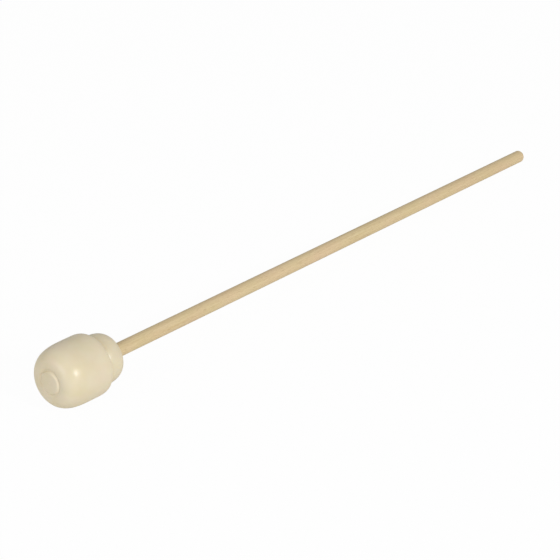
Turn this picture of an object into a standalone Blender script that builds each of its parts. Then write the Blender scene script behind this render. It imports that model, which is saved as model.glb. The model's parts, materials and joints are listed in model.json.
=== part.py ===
"""A tubular bell mallet: a turned ivory head glued on a straight wooden handle.

The mallet lies on its side, on the barrel of its head and on the edge of its handle's
free end. Every piece is turned about one line, the mallet's axis, and is drawn as a
profile: pairs of a radius and a depth, where the depth is measured back from the
striking end. All sizes are in metres.
"""

import math

import bpy
from mathutils import Vector

MM = 0.001

COLLECTION_NAME = "tubular_bell_mallet"
WHOLE_LENGTH = 450.0 * MM

# Gap between two pieces that touch on the real mallet
CONTACT_GAP = 0.3 * MM

# Head: barrel with its round crown
HEAD_LENGTH = 45.0 * MM
BARREL_RADIUS = 18.0 * MM
BARREL_WIDEST_DEPTH = 23.0 * MM
CROWN_SIDE_POWER = 3.8
CROWN_FACE_POWER = 2.4
SHOULDER_SIDE_POWER = 5.7
SHOULDER_FACE_POWER = 4.7

# Head: low disc in the middle of the striking end
DISC_RADIUS = 6.8 * MM
DISC_EDGE_RADIUS = 0.5 * MM
CREASE_DEPTH = 1.1 * MM
CREASE_WIDTH = 0.5 * MM
CROWN_START_DEPTH = 0.65 * MM

# Head: groove behind the barrel, then the collar
GROOVE_DEPTH = 31.0 * MM
GROOVE_RADIUS = 13.8 * MM
COLLAR_RADIUS = 14.9 * MM
COLLAR_WIDEST_DEPTH = 34.0 * MM
COLLAR_BACK_RADIUS = 10.3 * MM
COLLAR_SIDE_POWER = 1.7
COLLAR_FACE_POWER = 3.2

# Handle: dowel, and the turned-down end that is glued in
HANDLE_RADIUS = 4.0 * MM
BUTT_EDGE_RADIUS = 1.6 * MM
TENON_RADIUS = 3.4 * MM
TENON_CHAMFER = 0.8 * MM
FULL_WIDTH_SEAT = 5.0 * MM
SEAT_LENGTH = 30.0 * MM

# Drilled hole in the head
HOLE_RADIUS = HANDLE_RADIUS + CONTACT_GAP
DRILL_POINT_ANGLE = math.radians(118.0)
HOLE_MOUTH_CHAMFER = 0.5 * MM

# Glue round the tenon and in the drill point
GLUE_INNER_RADIUS = TENON_RADIUS + CONTACT_GAP
GLUE_OUTER_RADIUS = HOLE_RADIUS - CONTACT_GAP

HEAD_SIDES = 48
HANDLE_SIDES = 24
SHARP_ANGLE = math.radians(32.0)
MERGE_DISTANCE = 0.00001

IVORY = (0.776, 0.701, 0.533, 1.0)
PALE_WOOD = (0.630, 0.515, 0.342, 1.0)
GLUE_AMBER = (0.680, 0.500, 0.230, 1.0)


def clear_scene():
    """Remove every object that the scene starts with."""
    for scene_object in list(bpy.data.objects):
        bpy.data.objects.remove(scene_object, do_unlink=True)


def arc(centre, radius, start_degrees, end_degrees, steps):
    """Points on a circle; 0 degrees points outwards and 90 degrees points forwards."""
    points = []
    for step in range(steps + 1):
        angle = math.radians(start_degrees + (end_degrees - start_degrees) * step / steps)
        across = centre[0] + radius * math.cos(angle)
        depth = centre[1] - radius * math.sin(angle)
        points.append((across, depth))
    return points


def swelling(widest, lowest, side_power, face_power, steps):
    """Points of a quarter of a soft oval, from its widest place to its lowest.

    A larger side_power keeps the side straight for longer, and a larger face_power
    makes the turn into the face tighter.
    """
    points = []
    for step in range(steps + 1):
        along = math.sin(math.pi / 2 * step / steps)
        share = max(0.0, 1.0 - along ** side_power) ** (1.0 / face_power)
        across = lowest[0] + (widest[0] - lowest[0]) * share
        depth = widest[1] + (lowest[1] - widest[1]) * along
        points.append((across, depth))
    return points


def disc_profile():
    """The low disc in the middle of the striking end, down into the crease round it."""
    edge_centre = (DISC_RADIUS - DISC_EDGE_RADIUS, DISC_EDGE_RADIUS)
    edge = arc(edge_centre, DISC_EDGE_RADIUS, 90, 0, 4)
    crease_bottom = (DISC_RADIUS + 0.4 * CREASE_WIDTH, CREASE_DEPTH)
    return [(0.0, 0.0)] + edge + [crease_bottom]


def barrel_profile():
    """The crown, the widest place and the back shoulder of the barrel."""
    widest = (BARREL_RADIUS, BARREL_WIDEST_DEPTH)
    crown_start = (DISC_RADIUS + CREASE_WIDTH, CROWN_START_DEPTH)
    crown = swelling(widest, crown_start, CROWN_SIDE_POWER, CROWN_FACE_POWER, 18)
    groove = (GROOVE_RADIUS, GROOVE_DEPTH)
    shoulder = swelling(widest, groove, SHOULDER_SIDE_POWER, SHOULDER_FACE_POWER, 12)
    return crown[::-1] + shoulder[1:]


def collar_profile():
    """The round collar behind the groove, ending at the edge of its flat back."""
    widest = (COLLAR_RADIUS, COLLAR_WIDEST_DEPTH)
    rise = swelling(widest, (GROOVE_RADIUS, GROOVE_DEPTH), 2.0, 2.0, 5)
    back_edge = (COLLAR_BACK_RADIUS, HEAD_LENGTH)
    fall = swelling(widest, back_edge, COLLAR_SIDE_POWER, COLLAR_FACE_POWER, 12)
    return rise[-2::-1] + fall[1:]


def hole_profile():
    """The blind hole, from the chamfer at its mouth to the tip of the drill point."""
    hole_end = HEAD_LENGTH - SEAT_LENGTH
    drill_point_height = HOLE_RADIUS / math.tan(DRILL_POINT_ANGLE / 2)
    return [
        (HOLE_RADIUS + HOLE_MOUTH_CHAMFER, HEAD_LENGTH),
        (HOLE_RADIUS, HEAD_LENGTH - HOLE_MOUTH_CHAMFER),
        (HOLE_RADIUS, hole_end),
        (0.0, hole_end - drill_point_height),
    ]


def head_profile():
    """The whole head, from the centre of its striking end round to the hole's tip."""
    return disc_profile() + barrel_profile() + collar_profile() + hole_profile()


def handle_profile():
    """The dowel, from the centre of its glued end to the centre of its free end."""
    tenon_end = HEAD_LENGTH - SEAT_LENGTH + 2 * CONTACT_GAP
    shoulder = HEAD_LENGTH - FULL_WIDTH_SEAT
    edge_centre = (HANDLE_RADIUS - BUTT_EDGE_RADIUS, WHOLE_LENGTH - BUTT_EDGE_RADIUS)
    butt = arc(edge_centre, BUTT_EDGE_RADIUS, 0, -90, 6)
    return [
        (0.0, tenon_end),
        (TENON_RADIUS - TENON_CHAMFER, tenon_end),
        (TENON_RADIUS, tenon_end + TENON_CHAMFER),
        (TENON_RADIUS, shoulder),
        (HANDLE_RADIUS, shoulder + HANDLE_RADIUS - TENON_RADIUS),
    ] + butt + [(0.0, WHOLE_LENGTH)]


def glue_profile():
    """The glue: a sleeve round the tenon, closed in front by the pool in the drill point."""
    hole_end = HEAD_LENGTH - SEAT_LENGTH
    slope = math.tan(DRILL_POINT_ANGLE / 2)
    pool_tip = hole_end - (HOLE_RADIUS - CONTACT_GAP) / slope
    sleeve_back = HEAD_LENGTH - FULL_WIDTH_SEAT - CONTACT_GAP
    pool_back = hole_end + CONTACT_GAP
    return [
        (0.0, pool_tip),
        (GLUE_OUTER_RADIUS, hole_end),
        (GLUE_OUTER_RADIUS, sleeve_back),
        (GLUE_INNER_RADIUS, sleeve_back),
        (GLUE_INNER_RADIUS, pool_back + TENON_CHAMFER),
        (GLUE_INNER_RADIUS - TENON_CHAMFER, pool_back),
        (0.0, pool_back),
    ]


def make_material(name, colour, roughness):
    """A plain non-metal material."""
    material = bpy.data.materials.new(name)
    material.use_nodes = True
    shader = material.node_tree.nodes["Principled BSDF"]
    shader.inputs["Base Color"].default_value = colour
    shader.inputs["Roughness"].default_value = roughness
    shader.inputs["Metallic"].default_value = 0.0
    material.diffuse_color = colour
    return material


def turn_piece(name, profile, sides, material, collection, axis_frame):
    """Turn a profile about the mallet's axis, with one flat of its outline underneath."""
    outline = bpy.data.meshes.new(name + "_outline")
    vertices = [(across, 0.0, -depth) for across, depth in profile]
    edges = [(index, index + 1) for index in range(len(vertices) - 1)]
    outline.from_pydata(vertices, edges, [])
    piece = bpy.data.objects.new(name, outline)
    collection.objects.link(piece)
    screw = piece.modifiers.new("Turned", "SCREW")
    screw.axis = "Z"
    screw.angle = 2 * math.pi
    screw.steps = sides
    screw.render_steps = sides
    screw.use_merge_vertices = True
    screw.merge_threshold = MERGE_DISTANCE

    depsgraph = bpy.context.evaluated_depsgraph_get()
    turned = bpy.data.meshes.new_from_object(piece.evaluated_get(depsgraph))
    turned.name = name
    turned.shade_smooth()
    turned.set_sharp_from_angle(angle=SHARP_ANGLE)
    turned.materials.clear()
    turned.materials.append(material)
    piece.modifiers.clear()
    piece.data = turned
    bpy.data.meshes.remove(outline)

    piece.parent = axis_frame
    piece.rotation_euler.z = math.pi / sides
    return piece


def resting_tilt(head, handle):
    """Slope of the axis when the flats under the head and the handle touch one plane."""
    head_flat = math.cos(math.pi / HEAD_SIDES)
    handle_flat = math.cos(math.pi / HANDLE_SIDES)
    tilt = 0.0
    for _ in range(8):

        def lowness(point, flat):
            return point[1] * math.sin(tilt) + point[0] * flat * math.cos(tilt)

        under_head = max(head, key=lambda point: lowness(point, head_flat))
        under_butt = max(handle, key=lambda point: lowness(point, handle_flat))
        drop = under_head[0] * head_flat - under_butt[0] * handle_flat
        tilt = math.atan2(drop, under_butt[1] - under_head[1])
    return tilt


def set_on_ground(axis_frame, pieces):
    """Move the mallet so that its box stands on the ground, centred on the origin."""
    bpy.context.view_layer.update()
    corners = []
    for piece in pieces:
        corners += [piece.matrix_world @ vertex.co for vertex in piece.data.vertices]
    lowest = Vector([min(corner[axis] for corner in corners) for axis in range(3)])
    highest = Vector([max(corner[axis] for corner in corners) for axis in range(3)])
    middle = (lowest + highest) / 2
    axis_frame.location -= Vector((middle.x, middle.y, lowest.z))
    bpy.context.view_layer.update()


def build():
    """Make the three pieces and lay the mallet on the ground."""
    clear_scene()
    collection = bpy.data.collections.new(COLLECTION_NAME)
    bpy.context.scene.collection.children.link(collection)

    axis_frame = bpy.data.objects.new("mallet_axis", None)
    axis_frame.empty_display_size = BARREL_RADIUS
    collection.objects.link(axis_frame)

    ivory = make_material("ivory_nylon", IVORY, 0.32)
    wood = make_material("pale_wood", PALE_WOOD, 0.55)
    amber = make_material("cured_glue", GLUE_AMBER, 0.25)

    head = head_profile()
    handle = handle_profile()
    pieces = [
        turn_piece("mallet_head", head, HEAD_SIDES, ivory, collection, axis_frame),
        turn_piece("handle_dowel", handle, HANDLE_SIDES, wood, collection, axis_frame),
        turn_piece("glue_bond", glue_profile(), HANDLE_SIDES, amber, collection, axis_frame),
    ]

    # The striking end faces -X and the axis falls towards the free end at +X
    axis_frame.rotation_euler.y = -math.pi / 2 + resting_tilt(head, handle)
    set_on_ground(axis_frame, pieces)


build()
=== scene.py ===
"""The looks of a tubular bell mallet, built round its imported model.

The mallet lies on a white table: an ivory nylon head on a pale wooden handle. Both are
turned about one line, the mallet's axis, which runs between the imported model's two flat
ends. Their fine surfaces are profiles, pairs of a radius and a depth in millimetres,
where the depth is measured back from the striking end along the axis.
"""

import json
import math

import bmesh
import bpy
from mathutils import Matrix, Vector


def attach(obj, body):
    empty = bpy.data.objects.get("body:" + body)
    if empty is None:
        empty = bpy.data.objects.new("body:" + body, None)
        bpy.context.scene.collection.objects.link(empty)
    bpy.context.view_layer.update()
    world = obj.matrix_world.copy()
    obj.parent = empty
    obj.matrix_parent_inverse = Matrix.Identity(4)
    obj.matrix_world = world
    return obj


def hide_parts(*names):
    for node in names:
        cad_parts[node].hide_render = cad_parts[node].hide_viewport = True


MM = 0.001

# The mallet's sizes in millimetres. The crease, groove, collar and butt edge follow the
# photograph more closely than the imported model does, and the barrel's radius is a hair
# less than its 18 so that this finer surface stays inside its box
WHOLE_LENGTH = 450.0
HEAD_LENGTH = 45.0
BARREL_RADIUS = 17.98
BARREL_WIDEST_DEPTH = 23.0
CROWN_SIDE_POWER = 3.8
CROWN_FACE_POWER = 2.4
SHOULDER_SIDE_POWER = 5.7
SHOULDER_FACE_POWER = 4.7
DISC_FLAT_RADIUS = 5.7
CREASE_RADIUS = 7.2
CREASE_DEPTH = 1.1
CROWN_START_RADIUS = 8.3
CROWN_START_DEPTH = 0.75
GROOVE_DEPTH = 32.0
GROOVE_RADIUS = 11.8
COLLAR_RADIUS = 14.4
COLLAR_WIDEST_DEPTH = 36.8
COLLAR_RISE_POWER = 2.0
COLLAR_BACK_RADIUS = 10.3
COLLAR_SIDE_POWER = 2.0
COLLAR_FACE_POWER = 2.4
HANDLE_RADIUS = 4.0
BUTT_EDGE_RADIUS = 2.2
SEAT_LENGTH = 30.0
TENON_RADIUS = 3.4
FULL_WIDTH_SEAT = 5.0
TENON_CHAMFER = 0.8
TENON_END_GAP = 0.6
TENON_STEP_SETBACK = 1.2
TENON_STEP_LENGTH = 0.6

# The hole closes on the handle at its mouth, as a glued joint does
HOLE_RADIUS = 4.3
HOLE_MOUTH_RADIUS = 4.02
HOLE_MOUTH_CHAMFER = 0.4
HOLE_STEP_SETBACK = 1.0
DRILL_POINT_HEIGHT = 2.6

# Mark of the lathe's centre in the middle of the disc
CENTRE_MARK_RADIUS = 0.7
CENTRE_MARK_DEPTH = 0.25

# The model's flats lie a little inside its circles, and the fine surfaces fit its box
HEAD_FIT = math.cos(math.pi / 48)
HANDLE_FIT = math.cos(math.pi / 24)
HEAD_SIDES = 192
HANDLE_SIDES = 96
HANDLE_RINGS = 60
SHARP_DEGREES = 40.0

# Camera: the photograph's frame in pixels, and where its striking end's centre lies
IMAGE_PIXELS = 560.0
SENSOR_WIDTH = 36.0
FOCAL_PIXELS = 2097.9
CAMERA_TURN = 50.604
CAMERA_LOOK_DOWN = 26.070
FRONT_DISTANCE = 1.10907
FRONT_PIXEL = (48.997, 383.501)

# Table and lights: sizes and distances in metres, powers in watts
TABLE_SIZE = 8.0
TABLE_WHITENESS = 0.97
WORLD_STRENGTH = 0.45
KEY_POWER = 42.0
KEY_DISTANCE = 3.0
KEY_SIZE = 0.36
KEY_DROP = 0.15
FILL_POWER = 6.0
FILL_DISTANCE = 1.5
FILL_SIZE = 0.9
FILL_LIFT = 0.35


def arc(centre, radius, start_degrees, end_degrees, steps):
    """Points on a circle; 0 degrees points outwards and 90 degrees points forwards."""
    points = []
    for step in range(steps + 1):
        angle = math.radians(start_degrees + (end_degrees - start_degrees) * step / steps)
        across = centre[0] + radius * math.cos(angle)
        depth = centre[1] - radius * math.sin(angle)
        points.append((across, depth))
    return points


def swelling(widest, lowest, side_power, face_power, steps):
    """Points of a quarter of a soft oval, from its widest place to its lowest."""
    points = []
    for step in range(steps + 1):
        along = math.sin(math.pi / 2 * step / steps)
        share = max(0.0, 1.0 - along ** side_power) ** (1.0 / face_power)
        across = lowest[0] + (widest[0] - lowest[0]) * share
        depth = widest[1] + (lowest[1] - widest[1]) * along
        points.append((across, depth))
    return points


def centre_mark_profile():
    """The small dished mark in the middle of the disc."""
    points = []
    steps = 6
    for step in range(steps + 1):
        share = step / steps
        sink = CENTRE_MARK_DEPTH * (1 + math.cos(math.pi * share)) / 2
        points.append((CENTRE_MARK_RADIUS * share, sink))
    return points


def easing(start, finish, steps):
    """Points that run from one place to another with a level start and a level finish."""
    points = []
    for step in range(1, steps + 1):
        share = step / steps
        eased = (1 - math.cos(math.pi * share)) / 2
        across = start[0] + (finish[0] - start[0]) * share
        points.append((across, start[1] + (finish[1] - start[1]) * eased))
    return points


def disc_profile():
    """The low disc in the middle of the striking end, and the soft crease round it."""
    flat_edge = (DISC_FLAT_RADIUS, 0.0)
    crease = (CREASE_RADIUS, CREASE_DEPTH)
    crown_start = (CROWN_START_RADIUS, CROWN_START_DEPTH)
    disc = centre_mark_profile() + [flat_edge]
    return disc + easing(flat_edge, crease, 12) + easing(crease, crown_start, 8)[:-1]


def barrel_profile():
    """The crown, the widest place and the back shoulder of the barrel."""
    widest = (BARREL_RADIUS, BARREL_WIDEST_DEPTH)
    crown_start = (CROWN_START_RADIUS, CROWN_START_DEPTH)
    crown = swelling(widest, crown_start, CROWN_SIDE_POWER, CROWN_FACE_POWER, 72)
    groove = (GROOVE_RADIUS, GROOVE_DEPTH)
    shoulder = swelling(widest, groove, SHOULDER_SIDE_POWER, SHOULDER_FACE_POWER, 60)
    return crown[::-1] + shoulder[1:]


def collar_profile():
    """The round collar behind the groove, ending at the edge of its flat back."""
    widest = (COLLAR_RADIUS, COLLAR_WIDEST_DEPTH)
    groove = (GROOVE_RADIUS, GROOVE_DEPTH)
    rise = swelling(widest, groove, COLLAR_RISE_POWER, COLLAR_RISE_POWER, 16)
    back_edge = (COLLAR_BACK_RADIUS, HEAD_LENGTH)
    fall = swelling(widest, back_edge, COLLAR_SIDE_POWER, COLLAR_FACE_POWER, 48)
    return rise[-2::-1] + fall[1:]


def hole_profile():
    """The blind hole, from its chamfered mouth to the tip of the drill point."""
    hole_end = HEAD_LENGTH - SEAT_LENGTH
    mouth_end = HEAD_LENGTH - FULL_WIDTH_SEAT + HOLE_STEP_SETBACK
    return [
        (HOLE_MOUTH_RADIUS + HOLE_MOUTH_CHAMFER, HEAD_LENGTH),
        (HOLE_MOUTH_RADIUS, HEAD_LENGTH - HOLE_MOUTH_CHAMFER),
        (HOLE_MOUTH_RADIUS, mouth_end),
        (HOLE_RADIUS, mouth_end),
        (HOLE_RADIUS, hole_end),
        (0.0, hole_end - DRILL_POINT_HEIGHT),
    ]


def head_profile():
    """The whole head, from the centre of its striking end round to the hole's tip."""
    outside = disc_profile() + barrel_profile() + collar_profile()
    return [(across * HEAD_FIT, depth) for across, depth in outside] + hole_profile()


def handle_profile():
    """The dowel, from the centre of its glued end to the centre of its free end."""
    tenon_end = HEAD_LENGTH - SEAT_LENGTH + TENON_END_GAP
    shoulder = HEAD_LENGTH - FULL_WIDTH_SEAT + TENON_STEP_SETBACK
    straight_start = shoulder + TENON_STEP_LENGTH
    straight_end = WHOLE_LENGTH - BUTT_EDGE_RADIUS
    radius = HANDLE_RADIUS * HANDLE_FIT
    points = [(0.0, tenon_end), (TENON_RADIUS - TENON_CHAMFER, tenon_end)]
    points += [(TENON_RADIUS, tenon_end + TENON_CHAMFER), (TENON_RADIUS, shoulder)]
    for ring in range(HANDLE_RINGS):
        points.append((radius, straight_start + (straight_end - straight_start) * ring / HANDLE_RINGS))
    points += arc((radius - BUTT_EDGE_RADIUS, straight_end), BUTT_EDGE_RADIUS, 0, -90, 14)
    return points + [(0.0, WHOLE_LENGTH)]


def turn(name, profile, sides, axis_matrix):
    """A closed smooth mesh of a profile that starts and ends on the axis."""
    mesh = bmesh.new()
    rings = []
    for across, depth in profile:
        if across < 1e-6:
            rings.append([mesh.verts.new((0.0, 0.0, -depth * MM))])
            continue
        ring = []
        for side in range(sides):
            angle = 2 * math.pi * side / sides
            place = (across * MM * math.cos(angle), across * MM * math.sin(angle), -depth * MM)
            ring.append(mesh.verts.new(place))
        rings.append(ring)
    for upper, lower in zip(rings, rings[1:]):
        for side in range(sides):
            after = (side + 1) % sides
            corners = [upper[side % len(upper)], lower[side % len(lower)]]
            corners += [lower[after % len(lower)], upper[after % len(upper)]]
            distinct = list(dict.fromkeys(corners))
            mesh.faces.new(distinct)
    bmesh.ops.recalc_face_normals(mesh, faces=mesh.faces)
    data = bpy.data.meshes.new(name)
    mesh.to_mesh(data)
    mesh.free()
    data.transform(axis_matrix)
    data.shade_smooth()
    data.set_sharp_from_angle(angle=math.radians(SHARP_DEGREES))
    piece = bpy.data.objects.new(name, data)
    bpy.context.scene.collection.objects.link(piece)
    return piece


class Nodes:
    """A short way to write a material's node tree."""

    def __init__(self, name):
        self.material = bpy.data.materials.new(name)
        self.material.use_nodes = True
        self.tree = self.material.node_tree
        self.shader = self.tree.nodes["Principled BSDF"]

    def add(self, kind, inputs=None, **settings):
        """Add a node, set its options, and join or set its inputs by name or index."""
        node = self.tree.nodes.new(kind)
        for key, value in settings.items():
            setattr(node, key, value)
        for key, value in (inputs or {}).items():
            if isinstance(value, bpy.types.NodeSocket):
                self.tree.links.new(value, node.inputs[key])
            else:
                node.inputs[key].default_value = value
        return node

    def place(self, scale):
        """Coordinates in metres with Z along the mallet's axis, stretched by a scale for each axis."""
        from_axis = mallet_axis.inverted()
        own = self.add("ShaderNodeTexCoord").outputs["Object"]
        inputs = {"Vector": own, "Location": from_axis.to_translation(), "Rotation": from_axis.to_euler()}
        turned = self.add("ShaderNodeMapping", inputs).outputs["Vector"]
        return self.add("ShaderNodeMapping", {"Vector": turned, "Scale": scale}).outputs["Vector"]

    def noise(self, vector, scale, detail=3.0, roughness=0.5):
        """A noise value from 0 to 1."""
        inputs = {"Vector": vector, "Scale": scale, "Detail": detail, "Roughness": roughness}
        return self.add("ShaderNodeTexNoise", inputs).outputs["Fac"]

    def ramp(self, value, stops):
        """A colour ramp with the given (place, colour) stops."""
        node = self.add("ShaderNodeValToRGB", {"Fac": value})
        elements = node.color_ramp.elements
        while len(elements) < len(stops):
            elements.new(0.5)
        for element, (position, colour) in zip(elements, stops):
            element.position = position
            element.color = (*colour, 1.0)
        return node.outputs["Color"]

    def span(self, value, low, high, from_low=0.3, from_high=0.7):
        """A value spread over a new range."""
        inputs = {"Value": value, "From Min": from_low, "From Max": from_high}
        inputs.update({"To Min": low, "To Max": high})
        return self.add("ShaderNodeMapRange", inputs).outputs["Result"]

    def mix(self, share, first, second):
        """Two colours mixed by a share."""
        node = self.add("ShaderNodeMix", data_type="RGBA")
        for socket, value in ((node.inputs[0], share), (node.inputs[6], first), (node.inputs[7], second)):
            if isinstance(value, bpy.types.NodeSocket):
                self.tree.links.new(value, socket)
            else:
                socket.default_value = value
        return node.outputs[2]

    def bump(self, height, distance, strength=1.0, normal=None):
        """A bumped normal."""
        inputs = {"Height": height, "Distance": distance, "Strength": strength}
        if normal is not None:
            inputs["Normal"] = normal
        return self.add("ShaderNodeBump", inputs).outputs["Normal"]

    def join(self, value, socket):
        """Join a value to one of the shader's sockets."""
        self.tree.links.new(value, self.shader.inputs[socket])

    def fix(self, **values):
        """Set the shader's own sockets; an underscore in a name stands for a space."""
        for key, value in values.items():
            self.shader.inputs[key.replace("_", " ")].default_value = value


def ivory_nylon():
    """Natural nylon: creamy, softly cloudy, with faint rings left by turning."""
    nodes = Nodes("ivory_nylon")
    clouds = nodes.noise(nodes.place((1, 1, 1)), 60.0, 3.0)
    cream = nodes.ramp(clouds, [(0.3, (0.735, 0.640, 0.415)), (0.7, (0.790, 0.715, 0.525))])
    warm = nodes.noise(nodes.place((1, 1, 0.6)), 120.0, 2.0)
    tinted = nodes.mix(nodes.span(warm, 0.0, 0.5), cream, (0.790, 0.655, 0.500, 1.0))
    nodes.join(tinted, "Base Color")
    rings = nodes.noise(nodes.place((0.0, 0.0, 1.0)), 2200.0, 3.0, 0.6)
    smears = nodes.noise(nodes.place((1, 1, 1)), 260.0, 4.0)
    nodes.join(nodes.span(smears, 0.33, 0.43), "Roughness")
    ring_normal = nodes.bump(rings, 0.00003, 0.4)
    pits = nodes.noise(nodes.place((1, 1, 1)), 1500.0, 2.0)
    nodes.join(nodes.bump(pits, 0.00003, 0.25, ring_normal), "Normal")
    nodes.fix(IOR=1.53, Subsurface_Weight=0.10, Subsurface_Scale=0.003)
    nodes.shader.inputs["Subsurface Radius"].default_value = (1.0, 0.75, 0.45)
    return nodes.material


def pale_birch():
    """A pale dowel: long straight grain, short pores and soft warm stretches."""
    nodes = Nodes("pale_birch")
    grain = nodes.noise(nodes.place((1, 1, 0.016)), 1500.0, 4.0, 0.6)
    bands = nodes.noise(nodes.place((1.0, 0.35, 0.022)), 420.0, 3.0, 0.55)
    colour = nodes.ramp(bands, [(0.3, (0.600, 0.455, 0.220)), (0.7, (0.770, 0.640, 0.375))])
    fine = nodes.ramp(grain, [(0.3, (0.560, 0.415, 0.200)), (0.65, (0.790, 0.665, 0.415))])
    grained = nodes.mix(0.5, colour, fine)
    stretches = nodes.noise(nodes.place((0.6, 0.6, 0.25)), 150.0, 2.0)
    blushed = nodes.mix(nodes.span(stretches, 0.0, 0.55), grained, (0.740, 0.520, 0.345, 1.0))
    golden = nodes.noise(nodes.place((0.9, 0.9, 0.4)), 110.0, 2.0)
    aged = nodes.mix(nodes.span(golden, 0.0, 0.4), blushed, (0.690, 0.560, 0.310, 1.0))
    pores = nodes.noise(nodes.place((1, 1, 0.06)), 3800.0, 2.0, 0.4)
    pitted = nodes.mix(nodes.span(pores, 0.0, 0.5, 0.60, 0.70), aged, (0.400, 0.270, 0.140, 1.0))
    nodes.join(pitted, "Base Color")
    nodes.join(nodes.span(grain, 0.50, 0.66), "Roughness")
    grain_normal = nodes.bump(grain, 0.00006, 0.5)
    nodes.join(nodes.bump(pores, 0.00005, 0.4, grain_normal), "Normal")
    nodes.fix(IOR=1.45)
    return nodes.material


def cured_glue():
    """Clear amber adhesive with a few small bubbles."""
    nodes = Nodes("cured_glue")
    cloud = nodes.noise(nodes.place((1, 1, 1)), 300.0, 3.0)
    nodes.join(nodes.ramp(cloud, [(0.3, (0.60, 0.42, 0.17)), (0.7, (0.74, 0.56, 0.28))]), "Base Color")
    nodes.join(nodes.span(cloud, 0.18, 0.32), "Roughness")
    bubbles = nodes.noise(nodes.place((1, 1, 1)), 2200.0, 1.0)
    nodes.join(nodes.bump(bubbles, 0.00008, 0.4), "Normal")
    return nodes.material


def white_table():
    """A white table that stays near white to the camera and keeps the mallet's shadow."""
    bpy.ops.mesh.primitive_plane_add(size=TABLE_SIZE, location=(0.0, 0.0, 0.0))
    table = bpy.context.object
    table.name = "table"
    nodes = Nodes("white_table")
    tree = nodes.tree
    tree.nodes.remove(nodes.shader)
    diffuse = nodes.add("ShaderNodeBsdfDiffuse", {"Color": (0.90, 0.90, 0.90, 1.0)})
    glow = nodes.add("ShaderNodeEmission", {"Color": (1.0, 1.0, 1.0, 1.0), "Strength": 1.0})
    rays = nodes.add("ShaderNodeLightPath")
    camera_share = {0: rays.outputs["Is Camera Ray"], 1: TABLE_WHITENESS}
    share = nodes.add("ShaderNodeMath", camera_share, operation="MULTIPLY")
    looks = {0: share.outputs[0], 1: diffuse.outputs[0], 2: glow.outputs[0]}
    joined = nodes.add("ShaderNodeMixShader", looks)
    tree.links.new(joined.outputs[0], tree.nodes["Material Output"].inputs["Surface"])
    table.data.materials.append(nodes.material)


def light_world():
    """Soft even light from all round, white where the camera sees it."""
    world = bpy.data.worlds.new("studio")
    bpy.context.scene.world = world
    world.use_nodes = True
    tree = world.node_tree
    soft = tree.nodes["Background"]
    soft.inputs["Color"].default_value = (1.0, 1.0, 1.0, 1.0)
    soft.inputs["Strength"].default_value = WORLD_STRENGTH
    white = tree.nodes.new("ShaderNodeBackground")
    white.inputs["Color"].default_value = (1.0, 1.0, 1.0, 1.0)
    white.inputs["Strength"].default_value = 1.0
    rays = tree.nodes.new("ShaderNodeLightPath")
    either = tree.nodes.new("ShaderNodeMixShader")
    tree.links.new(rays.outputs["Is Camera Ray"], either.inputs[0])
    tree.links.new(soft.outputs[0], either.inputs[1])
    tree.links.new(white.outputs[0], either.inputs[2])
    tree.links.new(either.outputs[0], tree.nodes["World Output"].inputs["Surface"])


def add_lamp(name, place, aim, size, power):
    """A round area lamp that points at a place."""
    data = bpy.data.lights.new(name, "AREA")
    data.shape = "DISK"
    data.size = size
    data.energy = power
    lamp = bpy.data.objects.new(name, data)
    lamp.location = place
    lamp.rotation_euler = (Vector(aim) - Vector(place)).to_track_quat("-Z", "Y").to_euler()
    bpy.context.scene.collection.objects.link(lamp)


def camera_directions():
    """The camera's right, up and forward directions; it is held level."""
    turn_angle = math.radians(CAMERA_TURN)
    down = math.radians(CAMERA_LOOK_DOWN)
    right = Vector((math.cos(turn_angle), -math.sin(turn_angle), 0.0))
    level = Vector((math.sin(turn_angle), math.cos(turn_angle), 0.0))
    forward = level * math.cos(down) - Vector((0.0, 0.0, 1.0)) * math.sin(down)
    return right, right.cross(forward), forward


def add_camera(front):
    """A level camera that sees the striking end's centre at its pixel in the photograph."""
    right, up, forward = camera_directions()
    middle = IMAGE_PIXELS / 2
    along_right = (FRONT_PIXEL[0] - middle) / FOCAL_PIXELS * FRONT_DISTANCE
    along_up = (middle - FRONT_PIXEL[1]) / FOCAL_PIXELS * FRONT_DISTANCE
    data = bpy.data.cameras.new("camera")
    data.sensor_width = SENSOR_WIDTH
    data.lens = FOCAL_PIXELS / IMAGE_PIXELS * SENSOR_WIDTH
    camera = bpy.data.objects.new("camera", data)
    place = front - right * along_right - up * along_up - forward * FRONT_DISTANCE
    axes = Matrix((right, up, -forward)).transposed()
    camera.matrix_world = Matrix.Translation(place) @ axes.to_4x4()
    bpy.context.scene.collection.objects.link(camera)
    bpy.context.scene.camera = camera
    return place


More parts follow.
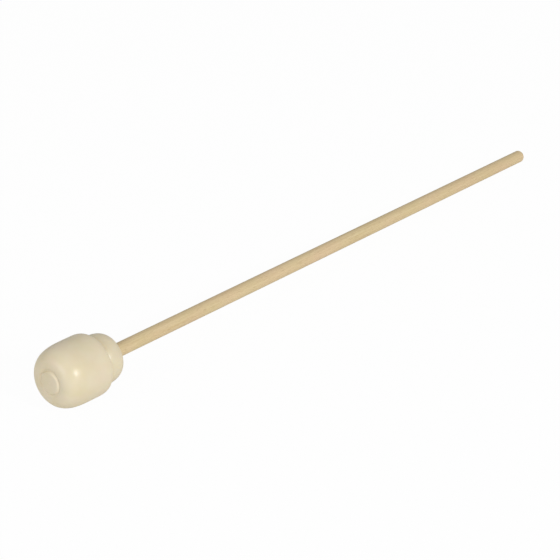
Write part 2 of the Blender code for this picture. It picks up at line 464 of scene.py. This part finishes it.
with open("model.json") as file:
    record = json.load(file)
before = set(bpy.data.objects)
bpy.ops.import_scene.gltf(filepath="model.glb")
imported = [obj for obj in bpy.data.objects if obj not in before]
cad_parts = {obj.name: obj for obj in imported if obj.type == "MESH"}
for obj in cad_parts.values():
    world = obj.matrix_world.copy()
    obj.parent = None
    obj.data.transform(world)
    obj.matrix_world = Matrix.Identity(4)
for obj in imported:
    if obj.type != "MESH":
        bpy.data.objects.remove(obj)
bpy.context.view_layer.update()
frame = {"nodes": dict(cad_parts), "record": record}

ends = {mount["name"]: Vector(mount["pos_m"]) for mount in frame["record"]["mounts"]}
front_centre = ends["striking_disc"]
forward_axis = (front_centre - ends["butt_end"]).normalized()
side_axis = Vector((0.0, 1.0, 0.0))
axis_columns = Matrix((side_axis.cross(forward_axis), side_axis, forward_axis)).transposed()
mallet_axis = Matrix.Translation(front_centre) @ axis_columns.to_4x4()

head = turn("fine_head", head_profile(), HEAD_SIDES, mallet_axis)
handle = turn("fine_handle", handle_profile(), HANDLE_SIDES, mallet_axis)
finishes = ((head, "mallet_head", "head", ivory_nylon()), (handle, "handle_dowel", "handle", pale_birch()))
for piece, node, slot, material in finishes:
    piece.data.materials.append(material)
    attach(piece, "root")
    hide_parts(node)
glue = frame["nodes"]["glue_bond"]
glue.data.materials.clear()
glue.data.materials.append(cured_glue())

white_table()
light_world()
camera_place = add_camera(front_centre)

# The key lamp stands square to the mallet's side, on the camera's side of it
camera_up = camera_directions()[1]
towards_camera = (camera_place - front_centre).normalized()
square_to_side = (towards_camera - forward_axis * towards_camera.dot(forward_axis)).normalized()
key_direction = (square_to_side - camera_up * KEY_DROP).normalized()
add_lamp("key", front_centre + key_direction * KEY_DISTANCE, front_centre, KEY_SIZE, KEY_POWER)

# A wide soft lamp ahead of the striking end keeps the front of the head from going dull
fill_direction = (forward_axis + camera_up * FILL_LIFT).normalized()
add_lamp("fill", front_centre + fill_direction * FILL_DISTANCE, front_centre, FILL_SIZE, FILL_POWER)

bpy.context.scene.view_settings.view_transform = "Standard"
